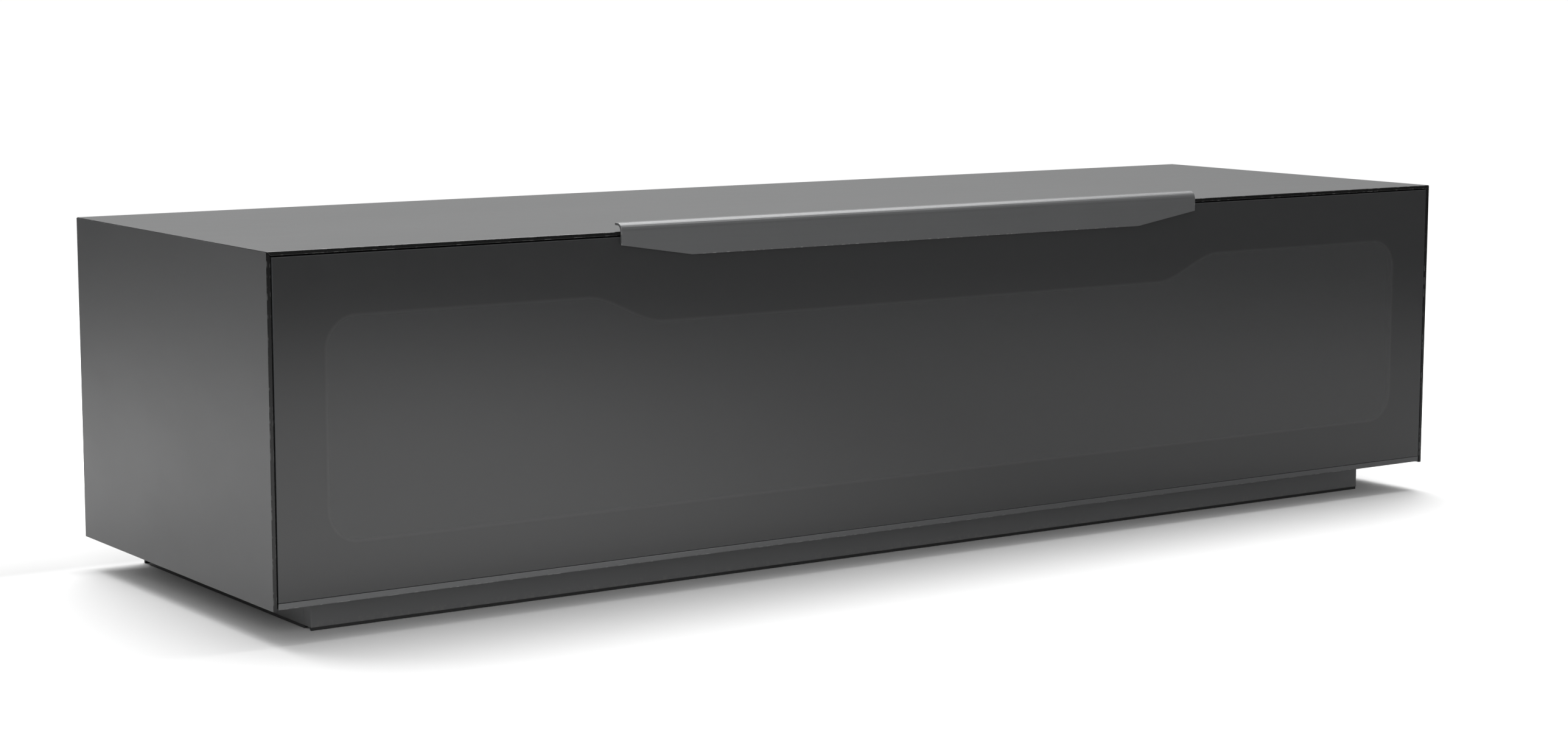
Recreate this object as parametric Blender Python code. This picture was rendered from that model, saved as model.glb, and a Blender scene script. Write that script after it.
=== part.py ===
"""A low media cabinet on a recessed plinth, with glass skins and one drop-down glass flap.

Metres, +Z up. The origin is on the floor, midway along the width and the depth. The front is at -Y.
The flap turns about FLAP_AXIS_Y and FLAP_AXIS_Z; rest is closed, and a positive turn about +X opens it.
"""

import math

import bmesh
import bpy
from mathutils import Vector

# Overall sizes
WIDTH = 1.600
DEPTH = 0.480
HEIGHT = 0.390
PLINTH_HEIGHT = 0.036

# Sheet thicknesses and clearances
BOARD = 0.016
SKIN = 0.004
BACK_PANEL = 0.008
BACK_PANEL_INSET = 0.002
FIT = 0.0003            # gap kept between pieces that touch
MITRE_GAP = 0.00025
PANEL_GAP = 0.001       # between neighbouring back panels

# Plinth
PLINTH_SIDE_INSET = 0.064
PLINTH_FRONT_INSET = 0.050
PLINTH_BACK_INSET = 0.008
PLINTH_BOARD = 0.016
GLIDE_HEIGHT = 0.003
GLIDE_RADIUS = 0.0065
GLIDE_END_DISTANCE = 0.060

# Flap
FLAP_GAP = 0.0015       # between the flap's edges and the skins
FLAP_RISE = 0.0014      # from the cabinet's underside up to the flap's lower edge
FLAP_GLASS = 0.005
FLAP_FRAME = 0.0157
WINDOW_BORDER = 0.056
WINDOW_RADIUS = 0.034
WINDOW_DIP = 0.030      # how much lower the border reaches under the handle
WINDOW_DIP_RADIUS = 0.060
PROFILE_LIP = 0.0065    # height of the aluminium strip that shows under the glass
PROFILE_ABOVE_AXIS = 0.0094     # how far the hinge profile reaches above the rod, behind the glass

# Flap hinge
AXIS_TO_INNER_FACE = 0.007
HINGE_ROD_RADIUS = 0.0025
HINGE_RUNNING_GAP = 0.0003
SWING_CLEARANCE = 0.0009
EAR = 0.003
EAR_RADIUS = 0.0055
EAR_SIDE_CLEARANCE = 0.001
EAR_ROOT_RADIUS = 0.003
EAR_ROOT_BACK = 0.010   # from the board's front edge to the ear's root
HINGE_FOOT = 0.002
HINGE_FOOT_WIDTH = 0.024
HINGE_FOOT_LENGTH = 0.046
HINGE_END_DISTANCE = 0.045
HINGE_DIVIDER_DISTANCE = 0.030

# Handle
HANDLE_LENGTH = 0.800
HANDLE_SLANT = 0.088
HANDLE_PROUD = 0.003
HANDLE_RISE = 0.0089
HANDLE_DROP_AT_ENDS = 0.014
HANDLE_DROP = 0.028
HANDLE_LIP = 0.013
HANDLE_SHEET = 0.0026
HANDLE_BEND = 0.0085
WINDOW_DIP_BEYOND_HANDLE = 0.041
WINDOW_DIP_BEYOND_SLANT = 0.033

# Stays: arm, link, flap and side board make a parallelogram
ARM_REACH = (0.018, 0.092)      # from the damper's spindle to the link, flap closed, along Y and Z
LINK_REACH = (-0.092, -0.052)   # from the arm to the flap bracket, along Y and Z
STAY_SHEET = 0.003
STAY_PLAY = 0.0007
SPINDLE_RADIUS = 0.004
STAY_PIN_RADIUS = 0.003
STAY_PIN_PLAY = 0.0005
OPEN_PIVOT_PLAY = 0.0008
ARM_HUB_RADIUS = 0.010
STAY_EYE_RADIUS = 0.0065
HOUSING = 0.012
HOUSING_LENGTH = 0.092
HOUSING_HEIGHT = 0.046
HOUSING_CORNER = 0.009
FLAP_BRACKET_SHEET = 0.002
FLAP_BRACKET_WIDTH = 0.022
FLAP_BRACKET_HEIGHT = 0.044

# Catches, strikes and bumpers
CATCH_DISTANCE = 0.180          # from the side board to the catch's middle
CATCH_SIZE = (0.042, 0.020, 0.012)
STRIKE_SIZE = (0.034, 0.0015, 0.014)
BUMPER_RADIUS = 0.0045
BUMPER_BELOW_TOP = 0.024

# Shelves
SHELF = 0.006
SHELF_SIDE_GAP = 0.002
SHELF_FRONT_INSET = 0.030
SHELF_BACK_INSET = 0.020
SHELF_PINS_ABOVE_STAY = 0.015   # from the top of a closed stay to the middle of the pins
PIN_SHANK_RADIUS = 0.0025
PIN_SHANK_LENGTH = 0.009
PIN_HEAD_RADIUS = 0.0045
PIN_HEAD_LENGTH = 0.009
PIN_END_DISTANCE = 0.060

# Cable outlets
OUTLET_LENGTH = 0.170
OUTLET_HEIGHT = 0.052
OUTLET_ABOVE_FLOOR_BOARD = 0.060
RIM_WALL = 0.002
RIM_FLANGE = 0.005
RIM_FLANGE_THICKNESS = 0.0015

EDGE = 0.0005           # chamfer on visible edges

# Places that follow from the sizes above
HALF_WIDTH = WIDTH / 2
FRONT = -DEPTH / 2
BACK = DEPTH / 2
SKIN_INSIDE_X = HALF_WIDTH - SKIN
SKIN_INSIDE_Z = HEIGHT - SKIN
SIDE_OUTER_X = SKIN_INSIDE_X - FIT
SIDE_INNER_X = SIDE_OUTER_X - BOARD
FLOOR_BOARD_TOP = PLINTH_HEIGHT + BOARD
TOP_BOARD_TOP = SKIN_INSIDE_Z - FIT
TOP_BOARD_UNDERSIDE = TOP_BOARD_TOP - BOARD
PANEL_FRONT = BACK - BACK_PANEL_INSET - BACK_PANEL
BOARD_BACK = PANEL_FRONT - FIT

FLAP_BOTTOM = PLINTH_HEIGHT + FLAP_RISE
FLAP_TOP = SKIN_INSIDE_Z - FLAP_GAP
FLAP_HALF_WIDTH = SKIN_INSIDE_X - FLAP_GAP
FLAP_FRAME_FRONT = FRONT + FLAP_GLASS + FIT
FLAP_INNER = FLAP_FRAME_FRONT + FLAP_FRAME
FLAP_AXIS_Y = FLAP_INNER - AXIS_TO_INNER_FACE
FLAP_AXIS_Z = FLOOR_BOARD_TOP - AXIS_TO_INNER_FACE   # the open flap lies level with the floor board
FLAP_SWING = math.hypot(AXIS_TO_INNER_FACE, FLAP_AXIS_Z - FLAP_BOTTOM)
PROFILE_TOP = FLAP_AXIS_Z + PROFILE_ABOVE_AXIS
BOARD_FRONT = FLAP_AXIS_Y + FLAP_SWING + SWING_CLEARANCE

BAY_WIDTH = (2 * (SIDE_INNER_X - FIT) - 2 * BOARD) / 3
DIVIDER_X = BAY_WIDTH / 2 + BOARD / 2

SPINDLE_YZ = (FLAP_AXIS_Y - LINK_REACH[0], FLAP_AXIS_Z - LINK_REACH[1])
ARM_END_YZ = (SPINDLE_YZ[0] + ARM_REACH[0], SPINDLE_YZ[1] + ARM_REACH[1])
FLAP_PIVOT_YZ = (ARM_END_YZ[0] + LINK_REACH[0], ARM_END_YZ[1] + LINK_REACH[1])
ARM_START = FIT + HOUSING + STAY_PLAY
LINK_START = ARM_START + STAY_SHEET + STAY_PLAY
LUG_START = LINK_START + STAY_SHEET + STAY_PLAY

ROUND_SIDES = 20
SMALL_ROUND_SIDES = 12
CORNER_STEPS = 6

SIDES = {"left": -1, "right": 1}

MATERIALS = {
    "skin_glass": ((0.100, 0.100, 0.103), 0.32, 0.0),
    "smoked_glass": ((0.030, 0.031, 0.033), 0.12, 0.0),
    "shelf_glass": ((0.080, 0.085, 0.088), 0.08, 0.0),
    "graphite_board": ((0.036, 0.037, 0.039), 0.50, 0.0),
    "plinth_lacquer": ((0.050, 0.051, 0.053), 0.50, 0.0),
    "dark_aluminium": ((0.085, 0.087, 0.090), 0.38, 0.9),
    "light_aluminium": ((0.30, 0.30, 0.31), 0.40, 0.9),
    "zinc_steel": ((0.52, 0.52, 0.53), 0.35, 1.0),
    "black_plastic": ((0.020, 0.020, 0.021), 0.45, 0.0),
    "grey_felt": ((0.10, 0.10, 0.10), 0.95, 0.0),
}


def clear_scene():
    for obj in list(bpy.data.objects):
        bpy.data.objects.remove(obj)


def material(name):
    """The named material, made on its first use."""
    found = bpy.data.materials.get(name)
    if found:
        return found
    colour, roughness, metallic = MATERIALS[name]
    made = bpy.data.materials.new(name)
    made.use_nodes = True
    shader = made.node_tree.nodes["Principled BSDF"]
    shader.inputs["Base Color"].default_value = (*colour, 1.0)
    shader.inputs["Roughness"].default_value = roughness
    shader.inputs["Metallic"].default_value = metallic
    return made


def place(name, shape, finish, origin, smooth=False):
    """Turns a bmesh in world coordinates into an object with its origin at the given point."""
    bmesh.ops.recalc_face_normals(shape, faces=shape.faces)
    bmesh.ops.translate(shape, verts=shape.verts, vec=-Vector(origin))
    mesh = bpy.data.meshes.new(name)
    shape.to_mesh(mesh)
    shape.free()
    if smooth:
        mesh.shade_smooth()
        mesh.set_sharp_from_angle(angle=math.radians(35))
    obj = bpy.data.objects.new(name, mesh)
    obj.location = origin
    if finish:
        mesh.materials.append(material(finish))
    bpy.context.scene.collection.objects.link(obj)
    return obj


def helper(name, shape):
    """An object that only cuts or joins, and is not a piece."""
    obj = place(name, shape, None, (0, 0, 0))
    obj.hide_render = True
    obj.display_type = "WIRE"
    return obj


def combine(obj, other, operation):
    step = obj.modifiers.new(f"{operation.lower()} {other.name}", "BOOLEAN")
    step.operation = operation
    step.object = other
    step.solver = "EXACT"


def chamfer(obj, width=EDGE, segments=1):
    """Breaks the sharp edges of a piece."""
    step = obj.modifiers.new("edges", "BEVEL")
    step.width = width
    step.segments = segments
    step.limit_method = "ANGLE"
    step.angle_limit = math.radians(40)


def point_at(axis, along, across):
    """A point from its place along one axis and its two places on the other axes, in X, Y, Z order."""
    rest = list(across)
    rest.insert("XYZ".index(axis), along)
    return Vector(rest)


def tube_of(loops, closed=False):
    """A shape whose side joins each loop of points to the next, capped at its ends unless it closes."""
    shape = bmesh.new()
    rings = [[shape.verts.new(point) for point in loop] for loop in loops]
    count = len(rings[0])
    pairs = list(zip(rings, rings[1:]))
    if closed:
        pairs.append((rings[-1], rings[0]))
    else:
        shape.faces.new(rings[0])
        shape.faces.new(rings[-1])
    for first, second in pairs:
        for i in range(count):
            j = (i + 1) % count
            shape.faces.new((first[i], first[j], second[j], second[i]))
    return shape


def prism(outline, axis, start, end):
    """A 2-D outline swept straight along an axis."""
    return tube_of([[point_at(axis, along, point) for point in outline] for along in (start, end)])


def block(low, high):
    """A box from its lowest corner to its highest."""
    outline = [(low[0], low[1]), (high[0], low[1]), (high[0], high[1]), (low[0], high[1])]
    return prism(outline, "Z", low[2], high[2])


def turned(axis, centre, stations, sides):
    """A round shape about an axis: stations are pairs of a place along the axis and a radius there."""
    loops = []
    for along, radius in stations:
        points = arc(centre, radius, 0, 2 * math.pi, sides)[:-1]
        loops.append([point_at(axis, along, point) for point in points])
    return tube_of(loops)


def arc(centre, radius, start, end, steps):
    """Points on an arc, both ends included."""
    angles = (start + (end - start) * i / steps for i in range(steps + 1))
    return [(centre[0] + radius * math.cos(a), centre[1] + radius * math.sin(a)) for a in angles]


def rounded(corners, steps=CORNER_STEPS):
    """An outline from (point, radius) corners, each rounded by an arc that meets both its sides."""
    points = []
    for i, (corner, radius) in enumerate(corners):
        here = Vector(corner)
        back = (Vector(corners[i - 1][0]) - here).normalized()
        ahead = (Vector(corners[(i + 1) % len(corners)][0]) - here).normalized()
        if radius == 0:
            points.append(tuple(here))
            continue
        half = back.angle(ahead) / 2
        centre = here + (back + ahead).normalized() * (radius / math.sin(half))
        from_centre = [here + side * (radius / math.tan(half)) - centre for side in (back, ahead)]
        start, end = (math.atan2(v.y, v.x) for v in from_centre)
        sweep = (end - start + math.pi) % (2 * math.pi) - math.pi
        points += arc(centre, radius, start, start + sweep, steps)
    return points


def rectangle(centre, width, height, radius=0.0):
    """Corners of an upright rectangle, for rounded()."""
    w, h = width / 2, height / 2
    return [((centre[0] + x, centre[1] + z), radius) for x, z in ((-w, -h), (w, -h), (w, h), (-w, h))]


def bar(first, first_radius, second, second_radius, sides=ROUND_SIDES):
    """The outline of a flat bar with two round ends."""
    run = Vector(second) - Vector(first)
    heading = math.atan2(run.y, run.x)
    lean = math.acos((first_radius - second_radius) / run.length)
    near = arc(first, first_radius, heading + lean, heading + 2 * math.pi - lean, sides // 2)
    far = arc(second, second_radius, heading - lean, heading + lean, sides // 2)
    return near + far


def slot(centre, length, height, steps=8):
    """The outline of a slot with half-round ends."""
    radius = height / 2
    reach = length / 2 - radius
    right = arc((centre[0] + reach, centre[1]), radius, -math.pi / 2, math.pi / 2, steps)
    left = arc((centre[0] - reach, centre[1]), radius, math.pi / 2, 3 * math.pi / 2, steps)
    return right + left


def inward(side, depth):
    """X of a plane this far inside the inner face of a side board."""
    return SIDES[side] * (SIDE_INNER_X - depth)


def board(name, low, high, finish="graphite_board", edge=EDGE):
    """A flat sheet with its origin at its middle."""
    middle = [(a + b) / 2 for a, b in zip(low, high)]
    obj = place(name, block(low, high), finish, middle)
    if edge:
        chamfer(obj, edge)
    return obj


# ---------------------------------------------------------------- plinth

def make_plinth():
    top = PLINTH_HEIGHT - FIT
    bottom = GLIDE_HEIGHT + FIT
    x = HALF_WIDTH - PLINTH_SIDE_INSET
    front = FRONT + PLINTH_FRONT_INSET
    back = BACK - PLINTH_BACK_INSET
    board("plinth_front", (-x, front, bottom), (x, front + PLINTH_BOARD, top), "plinth_lacquer")
    board("plinth_back", (-x, back - PLINTH_BOARD, bottom), (x, back, top), "plinth_lacquer")
    ends = (front + PLINTH_BOARD + FIT, back - PLINTH_BOARD - FIT)
    for side, sign in SIDES.items():
        low, high = sorted((sign * x, sign * (x - PLINTH_BOARD)))
        board(f"plinth_{side}", (low, ends[0], bottom), (high, ends[1], top), "plinth_lacquer")
    rows = {"front": front + PLINTH_BOARD / 2, "back": back - PLINTH_BOARD / 2}
    columns = {"left": -(x - GLIDE_END_DISTANCE), "middle": 0.0, "right": x - GLIDE_END_DISTANCE}
    for row, y in rows.items():
        for column, glide_x in columns.items():
            stations = [(0.0, GLIDE_RADIUS - EDGE), (EDGE, GLIDE_RADIUS), (GLIDE_HEIGHT, GLIDE_RADIUS)]
            shape = turned("Z", (glide_x, y), stations, SMALL_ROUND_SIDES)
            place(f"glide_{row}_{column}", shape, "grey_felt", (glide_x, y, 0.0), smooth=True)


# ---------------------------------------------------------------- carcass

def hinge_places():
    """The middle of each hinge bracket along X."""
    outer = SIDE_INNER_X - HINGE_END_DISTANCE
    inner = DIVIDER_X - BOARD / 2 - HINGE_DIVIDER_DISTANCE
    return {"far_left": -outer, "mid_left": -inner, "mid_right": inner, "far_right": outer}


def ear_root():
    """Middle of the ear's round root, above the floor board, in Y and Z."""
    return BOARD_FRONT + EAR_ROOT_BACK, FLOOR_BOARD_TOP + FIT + HINGE_FOOT + EAR_ROOT_RADIUS / 2


def ear_opening():
    """Half the width of the notches that the hinge ears pass through."""
    return EAR / 2 + EAR_SIDE_CLEARANCE


def make_floor_board():
    x = SIDE_INNER_X - FIT
    obj = board(
        "bottom_board", (-x, BOARD_FRONT, PLINTH_HEIGHT), (x, BOARD_BACK, FLOOR_BOARD_TOP), edge=0
    )
    slot_back = ear_root()[0] + EAR_ROOT_RADIUS + EAR_SIDE_CLEARANCE
    slot_bottom = FLAP_AXIS_Z - EAR_SIDE_CLEARANCE
    for name, middle in hinge_places().items():
        low = (middle - ear_opening(), BOARD_FRONT - BOARD, slot_bottom)
        high = (middle + ear_opening(), slot_back, FLOOR_BOARD_TOP + BOARD)
        combine(obj, helper(f"cut_floor_{name}", block(low, high)), "DIFFERENCE")


def shelf_pin_places():
    """(y, z) of a shelf's pins."""
    front = BOARD_FRONT + SHELF_FRONT_INSET + PIN_END_DISTANCE
    back = BOARD_BACK - SHELF_BACK_INSET - PIN_END_DISTANCE
    z = ARM_END_YZ[1] + STAY_EYE_RADIUS + SHELF_PINS_ABOVE_STAY
    return {"front": (front, z), "back": (back, z)}


def drill_pin_holes(obj, face_x, into):
    """Blind holes for shelf pins from a board's face, going into the board along into (-1 or +1)."""
    radius = PIN_SHANK_RADIUS + FIT
    for name, centre in shelf_pin_places().items():
        start = face_x - into * BOARD
        end = face_x + into * (PIN_SHANK_LENGTH + FIT)
        stations = [(along, radius) for along in sorted((start, end))]
        cutter = helper(f"cut_{obj.name}_{name}", turned("X", centre, stations, SMALL_ROUND_SIDES))
        combine(obj, cutter, "DIFFERENCE")


def make_carcass():
    make_floor_board()
    x = SIDE_INNER_X - FIT
    board("top_board", (-x, BOARD_FRONT, TOP_BOARD_UNDERSIDE), (x, BOARD_BACK, TOP_BOARD_TOP))
    inside = (FLOOR_BOARD_TOP + FIT, TOP_BOARD_UNDERSIDE - FIT)
    for side, sign in SIDES.items():
        low, high = sorted((sign * SIDE_INNER_X, sign * SIDE_OUTER_X))
        side_board = board(
            f"{side}_side_board", (low, BOARD_FRONT, PLINTH_HEIGHT), (high, BACK, TOP_BOARD_TOP), edge=0
        )
        drill_pin_holes(side_board, sign * SIDE_INNER_X, sign)
        middle = sign * DIVIDER_X
        divider = board(
            f"{side}_divider",
            (middle - BOARD / 2, BOARD_FRONT, inside[0]),
            (middle + BOARD / 2, BOARD_BACK, inside[1]),
            edge=0,
        )
        drill_pin_holes(divider, middle + sign * BOARD / 2, -sign)


def make_skins():
    """Glass on the top and sides, mitred where they meet. Their front edges frame the flap."""
    g = MITRE_GAP
    outer, inner = HALF_WIDTH - g, SKIN_INSIDE_X - g
    outline = [(-outer, HEIGHT), (outer, HEIGHT), (inner, SKIN_INSIDE_Z), (-inner, SKIN_INSIDE_Z)]
    top = place("top_skin", prism(outline, "Y", FRONT, BACK), "skin_glass", (0, 0, HEIGHT))
    chamfer(top, segments=2)
    for side, sign in SIDES.items():
        outline = [
            (sign * HALF_WIDTH, PLINTH_HEIGHT),
            (sign * HALF_WIDTH, HEIGHT - g),
            (sign * SKIN_INSIDE_X, SKIN_INSIDE_Z - g),
            (sign * SKIN_INSIDE_X, PLINTH_HEIGHT),
        ]
        origin = (sign * HALF_WIDTH, 0, PLINTH_HEIGHT)
        skin = place(f"{side}_skin", prism(outline, "Y", FRONT, BACK), "skin_glass", origin)
        chamfer(skin, segments=2)


# ---------------------------------------------------------------- back

def back_panels():
    """Name, left edge, right edge and the outlet's middle of each back panel."""
    edge = SIDE_INNER_X - FIT
    seam = DIVIDER_X
    bay = BAY_WIDTH + BOARD
    half_gap = PANEL_GAP / 2
    return (
        ("left", -edge, -seam - half_gap, -bay),
        ("middle", -seam + half_gap, seam - half_gap, 0.0),
        ("right", seam + half_gap, edge, bay),
    )


def make_back():
    z = FLOOR_BOARD_TOP + OUTLET_ABOVE_FLOOR_BOARD
    panel_back = PANEL_FRONT + BACK_PANEL
    flange_back = panel_back + FIT + RIM_FLANGE_THICKNESS
    for name, low_x, high_x, outlet_x in back_panels():
        low = (low_x, PANEL_FRONT, PLINTH_HEIGHT)
        high = (high_x, panel_back, TOP_BOARD_TOP - FIT)
        panel = board(f"back_panel_{name}", low, high, edge=0)
        centre = (outlet_x, z)
        hole = prism(slot(centre, OUTLET_LENGTH, OUTLET_HEIGHT), "Y", low[1] - BOARD, high[1] + BOARD)
        combine(panel, helper(f"cut_outlet_{name}", hole), "DIFFERENCE")

        def ring(grow, y):
            outline = slot(centre, OUTLET_LENGTH + 2 * grow, OUTLET_HEIGHT + 2 * grow)
            return [point_at("Y", y, point) for point in outline]

        inner = -FIT - RIM_WALL
        loops = [
            ring(-FIT, PANEL_FRONT),
            ring(-FIT, panel_back + FIT),
            ring(RIM_FLANGE, panel_back + FIT),
            ring(RIM_FLANGE, flange_back),
            ring(inner, flange_back),
            ring(inner, PANEL_FRONT),
        ]
        origin = (outlet_x, panel_back, z)
        place(f"cable_rim_{name}", tube_of(loops, closed=True), "black_plastic", origin, smooth=True)


# ---------------------------------------------------------------- shelves

def make_shelf_pin(name, face_x, out, centre):
    """A turned pin: its shank sits in the board, its head carries the shelf. out is -1 or +1 along X."""
    places = (-PIN_SHANK_LENGTH, FIT, FIT, PIN_HEAD_LENGTH - EDGE, PIN_HEAD_LENGTH)
    radii = (PIN_SHANK_RADIUS, PIN_SHANK_RADIUS, PIN_HEAD_RADIUS, PIN_HEAD_RADIUS, PIN_HEAD_RADIUS - EDGE)
    stations = [(face_x + out * along, radius) for along, radius in zip(places, radii)]
    shape = turned("X", centre, stations, SMALL_ROUND_SIDES)
    place(name, shape, "zinc_steel", (face_x, *centre), smooth=True)


def make_shelves():
    z = shelf_pin_places()["front"][1] + PIN_HEAD_RADIUS + FIT
    for side, sign in SIDES.items():
        faces = {"outer": sign * SIDE_INNER_X, "inner": sign * (DIVIDER_X + BOARD / 2)}
        low_x, high_x = sorted(faces.values())
        low = (low_x + SHELF_SIDE_GAP, BOARD_FRONT + SHELF_FRONT_INSET, z)
        high = (high_x - SHELF_SIDE_GAP, BOARD_BACK - SHELF_BACK_INSET, z + SHELF)
        board(f"{side}_shelf", low, high, "shelf_glass")
        for end, face_x in faces.items():
            out = -sign if end == "outer" else sign
            for row, centre in shelf_pin_places().items():
                make_shelf_pin(f"shelf_pin_{side}_{row}_{end}", face_x, out, centre)


# ---------------------------------------------------------------- flap

def flap_origin():
    return 0, FLAP_AXIS_Y, FLAP_AXIS_Z


def window_outline():
    """The frame's window: an even border, lower under the handle, with rounded corners."""
    x = FLAP_HALF_WIDTH - WINDOW_BORDER
    low = FLAP_BOTTOM + WINDOW_BORDER
    high = FLAP_TOP - WINDOW_BORDER
    dip_top = HANDLE_LENGTH / 2 + WINDOW_DIP_BEYOND_HANDLE
    dip_bottom = HANDLE_LENGTH / 2 - HANDLE_SLANT + WINDOW_DIP_BEYOND_SLANT
    dip = high - WINDOW_DIP
    return rounded([
        ((-x, low), WINDOW_RADIUS),
        ((x, low), WINDOW_RADIUS),
        ((x, high), WINDOW_RADIUS),
        ((dip_top, high), WINDOW_DIP_RADIUS),
        ((dip_bottom, dip), WINDOW_DIP_RADIUS),
        ((-dip_bottom, dip), WINDOW_DIP_RADIUS),
        ((-dip_top, high), WINDOW_DIP_RADIUS),
        ((-x, high), WINDOW_RADIUS),
    ])


def make_flap_panel():
    x = FLAP_HALF_WIDTH
    glass_low = FLAP_BOTTOM + PROFILE_LIP + FIT
    glass = place(
        "flap_glass",
        block((-x, FRONT, glass_low), (x, FRONT + FLAP_GLASS, FLAP_TOP)),
        "smoked_glass",
        flap_origin(),
    )
    chamfer(glass, segments=2)
    frame_low = PROFILE_TOP + FIT
    frame = place(
        "flap_frame",
        block((-x, FLAP_FRAME_FRONT, frame_low), (x, FLAP_INNER, FLAP_TOP)),
        "graphite_board",
        flap_origin(),
    )
    window = prism(window_outline(), "Y", FLAP_FRAME_FRONT - BOARD, FLAP_INNER + BOARD)
    combine(frame, helper("cut_window", window), "DIFFERENCE")


def make_hinge_profile():
    """Aluminium along the flap's lower edge: its front lip shows, and its round channel holds the rod."""
    x = FLAP_HALF_WIDTH
    lip_top = FLAP_BOTTOM + PROFILE_LIP
    outline = [
        (FRONT, FLAP_BOTTOM),
        (FLAP_INNER, FLAP_BOTTOM),
        (FLAP_INNER, PROFILE_TOP),
        (FLAP_FRAME_FRONT, PROFILE_TOP),
        (FLAP_FRAME_FRONT, lip_top),
        (FRONT, lip_top),
    ]
    profile = place("flap_hinge_profile", prism(outline, "X", -x, x), "light_aluminium", flap_origin())
    chamfer(profile)
    channel = HINGE_ROD_RADIUS + HINGE_RUNNING_GAP
    past = x + BOARD
    axis = (FLAP_AXIS_Y, FLAP_AXIS_Z)
    bore = turned("X", axis, [(-past, channel), (past, channel)], ROUND_SIDES)
    combine(profile, helper("cut_channel", bore), "DIFFERENCE")
    for name, middle in hinge_places().items():
        notch_front = FLAP_AXIS_Y - EAR_RADIUS - SWING_CLEARANCE
        low = (middle - ear_opening(), notch_front, FLAP_BOTTOM - BOARD)
        high = (middle + ear_opening(), FLAP_INNER + BOARD, PROFILE_TOP + BOARD)
        combine(profile, helper(f"cut_notch_{name}", block(low, high)), "DIFFERENCE")
    rod_end = x - EDGE
    stations = [(-rod_end, HINGE_ROD_RADIUS), (rod_end, HINGE_ROD_RADIUS)]
    rod = turned("X", axis, stations, ROUND_SIDES)
    place("hinge_rod", rod, "zinc_steel", flap_origin(), smooth=True)


def make_hinge_brackets():
    """Steel brackets on the floor board, each with an ear that reaches forward round the rod."""
    root = ear_root()
    axis = (FLAP_AXIS_Y, FLAP_AXIS_Z)
    for name, middle in hinge_places().items():
        ear = prism(bar(axis, EAR_RADIUS, root, EAR_ROOT_RADIUS), "X", middle - EAR / 2, middle + EAR / 2)
        bracket = place(f"hinge_bracket_{name}", ear, "zinc_steel", (middle, *axis))
        start = root[0] - EAR_ROOT_RADIUS
        low = (middle - HINGE_FOOT_WIDTH / 2, start, FLOOR_BOARD_TOP + FIT)
        high = (middle + HINGE_FOOT_WIDTH / 2, start + HINGE_FOOT_LENGTH, low[2] + HINGE_FOOT)
        combine(bracket, helper(f"join_foot_{name}", block(low, high)), "UNION")
        hole = HINGE_ROD_RADIUS + HINGE_RUNNING_GAP
        ends = (middle - EAR, middle + EAR)
        bore = turned("X", axis, [(end, hole) for end in ends], ROUND_SIDES)
        combine(bracket, helper(f"cut_eye_{name}", bore), "DIFFERENCE")


def make_handle():
    """A bent sheet: a long face with slanted lower corners, rolled back over the cabinet's top edge."""
    face = FRONT - HANDLE_PROUD
    inner_face = face + HANDLE_SHEET
    top = HEIGHT + HANDLE_RISE
    bend = (face + HANDLE_BEND, top - HANDLE_BEND)
    lip_end = face + HANDLE_LIP
    outer = arc(bend, HANDLE_BEND, math.pi, math.pi / 2, CORNER_STEPS)
    inner = arc(bend, HANDLE_BEND - HANDLE_SHEET, math.pi / 2, math.pi, CORNER_STEPS)

    def section(x, drop):
        low = HEIGHT - drop
        outline = [(face, low), *outer, (lip_end, top), (lip_end, top - HANDLE_SHEET), *inner]
        outline.append((inner_face, low))
        return [point_at("X", x, point) for point in outline]

    end = HANDLE_LENGTH / 2
    slant = end - HANDLE_SLANT
    stations = [
        (-end, HANDLE_DROP_AT_ENDS), (-slant, HANDLE_DROP), (slant, HANDLE_DROP), (end, HANDLE_DROP_AT_ENDS)
    ]
    shape = tube_of([section(x, drop) for x, drop in stations])
    handle = place("handle", shape, "dark_aluminium", flap_origin(), smooth=True)
    chamfer(handle, width=EDGE / 2)


# ---------------------------------------------------------------- stays

def span(side, start, end):
    """Ordered X of two planes given as depths inside a side board."""
    return sorted((inward(side, start), inward(side, end)))


def make_damper_housing(side):
    middle = (SPINDLE_YZ[0] + HOUSING_LENGTH / 2 - HOUSING_HEIGHT / 2, SPINDLE_YZ[1])
    outline = rounded(rectangle(middle, HOUSING_LENGTH, HOUSING_HEIGHT, HOUSING_CORNER), steps=4)
    shape = prism(outline, "X", *span(side, FIT, FIT + HOUSING))
    origin = (inward(side, FIT), *SPINDLE_YZ)
    housing = place(f"damper_housing_{side}", shape, "black_plastic", origin, smooth=True)
    tip = LINK_START - STAY_PLAY / 2
    ends = span(side, FIT + HOUSING / 2, tip)
    spindle = turned("X", SPINDLE_YZ, [(x, SPINDLE_RADIUS) for x in ends], ROUND_SIDES)
    combine(housing, helper(f"join_spindle_{side}", spindle), "UNION")


def eye_cutter(name, side, centre, radius, start, end):
    """A round cutter through a flat piece that lies between two depths."""
    ends = span(side, start - STAY_SHEET, end + STAY_SHEET)
    return helper(name, turned("X", centre, [(x, radius) for x in ends], ROUND_SIDES))


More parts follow.
